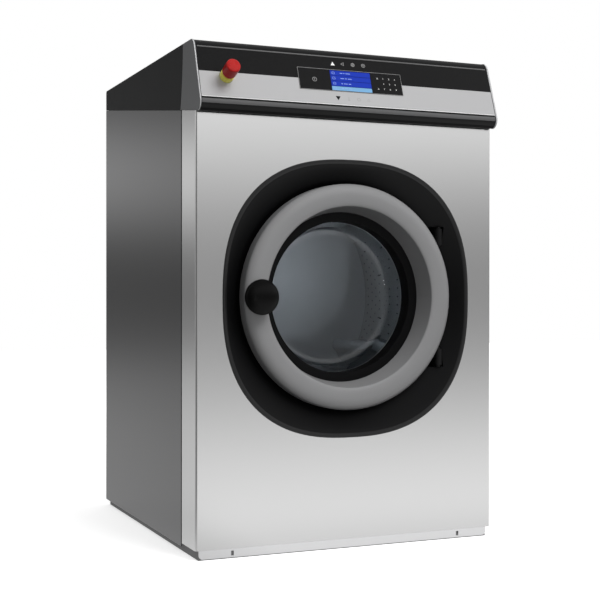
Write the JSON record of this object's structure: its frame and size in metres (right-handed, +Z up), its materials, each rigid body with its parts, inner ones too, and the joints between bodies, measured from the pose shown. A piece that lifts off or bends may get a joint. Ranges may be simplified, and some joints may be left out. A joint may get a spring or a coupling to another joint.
{
  "type": "industrial washing machine",
  "caption": "Front-loading industrial washing machine: steel cabinet, round glazed door in a dished black surround, leaning control console, anchored base and belt-driven drum.",
  "frame": {"origin": "centre of the four anchor holes, on the floor plane", "axes": "+Z up, +X to the right of someone facing the door, +Y from the door towards the rear; the door faces -Y"},
  "size_m": [0.71, 0.8564, 1.088],
  "materials": {
    "base_frame": "satin",
    "plinth_strip": "brushed",
    "side_panel_left": "brushed",
    "side_panel_right": "brushed",
    "front_panel": "brushed",
    "door_surround": "gloss",
    "top_cover": "satin",
    "console_shell": "satin",
    "console_cheeks": "brushed",
    "fascia_silver_band": "satin",
    "fascia_black_band": "gloss",
    "display_frame": "gloss",
    "lcd_window": "gloss",
    "control_board": "satin",
    "estop_collar": "gloss",
    "estop_contact_block": "satin",
    "soap_box": "satin",
    "outer_tub": "brushed",
    "tub_rear_plate": "brushed",
    "door_gasket": "satin",
    "tub_supports": "satin",
    "bearing_housing": "cast",
    "drum_bearings": "polished",
    "shaft_seal": "satin",
    "motor_body": "painted",
    "motor_bracket": "satin",
    "v_belt": "satin",
    "drain_valve_body": "satin",
    "drain_actuator": "satin",
    "sump_hose": "satin",
    "inlet_valves": "satin",
    "fill_hoses": "satin",
    "rear_panel": "satin",
    "drive_cover": "satin",
    "vent_pipe": "satin",
    "mains_gland": "satin",
    "heater_elements": "satin",
    "temperature_probe": "satin",
    "pressure_switch": "satin",
    "hinge_bracket": "satin",
    "hinge_pins": "polished",
    "door_lock_housing": "satin",
    "surround_collar": "satin",
    "drum_shell": "polished",
    "drum_lifters": "polished",
    "drum_spider": "cast",
    "drum_pulley": "machined",
    "motor_rotor": "machined",
    "door_ring": "satin",
    "door_back_frame": "satin",
    "door_glass": "clear",
    "glass_seal": "satin",
    "hinge_arms": "satin",
    "door_knob": "gloss",
    "latch_spindle": "satin",
    "lock_bolt": "polished",
    "estop_plunger": "satin",
    "estop_head": "gloss",
    "soap_lid": "satin",
    "drain_ball": "polished"
  },
  "bodies": {
    "cabinet": {"base_frame": "base_frame", "plinth_strip": "plinth_strip", "side_panel_left": "side_panel_left", "side_panel_right": "side_panel_right", "front_panel": "front_panel", "door_surround": "door_surround", "top_cover": "top_cover", "console_shell": "console_shell", "console_cheeks": "console_cheeks", "fascia_silver_band": "fascia_silver_band", "fascia_black_band": "fascia_black_band", "display_frame": "display_frame", "lcd_window": "lcd_window", "control_board": "control_board", "estop_collar": "estop_collar", "estop_contact_block": "estop_contact_block", "soap_box": "soap_box", "outer_tub": "outer_tub", "tub_rear_plate": "tub_rear_plate", "door_gasket": "door_gasket", "tub_supports": "tub_supports", "bearing_housing": "bearing_housing", "drum_bearings": "drum_bearings", "shaft_seal": "shaft_seal", "motor_body": "motor_body", "motor_bracket": "motor_bracket", "v_belt": "v_belt", "drain_valve_body": "drain_valve_body", "drain_actuator": "drain_actuator", "sump_hose": "sump_hose", "inlet_valves": "inlet_valves", "fill_hoses": "fill_hoses", "rear_panel": "rear_panel", "drive_cover": "drive_cover", "vent_pipe": "vent_pipe", "mains_gland": "mains_gland", "heater_elements": "heater_elements", "temperature_probe": "temperature_probe", "pressure_switch": "pressure_switch", "hinge_bracket": "hinge_bracket", "hinge_pins": "hinge_pins", "door_lock_housing": "door_lock_housing", "surround_collar": "surround_collar"},
    "drum": {"drum_shell": "drum_shell", "drum_lifters": "drum_lifters", "drum_spider": "drum_spider", "drum_pulley": "drum_pulley"},
    "rotor": {"motor_rotor": "motor_rotor"},
    "door": {"door_ring": "door_ring", "door_back_frame": "door_back_frame", "door_glass": "door_glass", "glass_seal": "glass_seal", "hinge_arms": "hinge_arms"},
    "latch": {"door_knob": "door_knob", "latch_spindle": "latch_spindle"},
    "lock": {"lock_bolt": "lock_bolt"},
    "stop_stem": {"estop_plunger": "estop_plunger"},
    "stop_head": {"estop_head": "estop_head"},
    "lid": {"soap_lid": "soap_lid"},
    "valve_ball": {"drain_ball": "drain_ball"}
  },
  "joints": [
    {"name": "drum_spin", "type": "hinge", "parent": "cabinet", "child": "drum", "pos_m": [0, 0, 0.5487], "axis": [0, 1, 0], "continuous": true},
    {"name": "motor_spin", "type": "hinge", "parent": "cabinet", "child": "rotor", "pos_m": [-0.14, 0.3, 0.112], "axis": [0, 1, 0], "continuous": true},
    {"name": "door_swing", "type": "hinge", "parent": "cabinet", "child": "door", "pos_m": [0.227, -0.361, 0.5487], "axis": [0, 0, 1], "range_deg": [0, 120]},
    {"name": "knob_turn", "type": "hinge", "parent": "door", "child": "latch", "pos_m": [-0.222, -0.376, 0.5487], "axis": [0, -1, 0], "range_deg": [0, 90]},
    {"name": "bolt_slide", "type": "slide", "parent": "cabinet", "child": "lock", "axis": [0, -1, 0], "range_m": [0, 0.01]},
    {"name": "stop_press", "type": "slide", "parent": "cabinet", "child": "stop_stem", "axis": [0, 0.9434, -0.3317], "range_m": [0, 0.005], "stiffness_N_per_m": 900, "springref_m": -0.002},
    {"name": "stop_release_turn", "type": "hinge", "parent": "stop_stem", "child": "stop_head", "pos_m": [-0.291, -0.38613, 1.00743], "axis": [0, -0.9434, 0.3317], "range_deg": [0, 45], "stiffness_Nm_per_rad": 0.05},
    {"name": "soap_lid_swing", "type": "hinge", "parent": "cabinet", "child": "lid", "pos_m": [0, -0.059, 1.0855], "axis": [-1, 0, 0], "range_deg": [0, 95]},
    {"name": "drain_turn", "type": "hinge", "parent": "cabinet", "child": "valve_ball", "pos_m": [0, 0.107, 0.09], "axis": [1, 0, 0], "range_deg": [0, 90]}
  ],
  "couplings": [
    {"joint": "motor_spin", "follows": "drum_spin", "ratio": 5.3636}
  ]
}
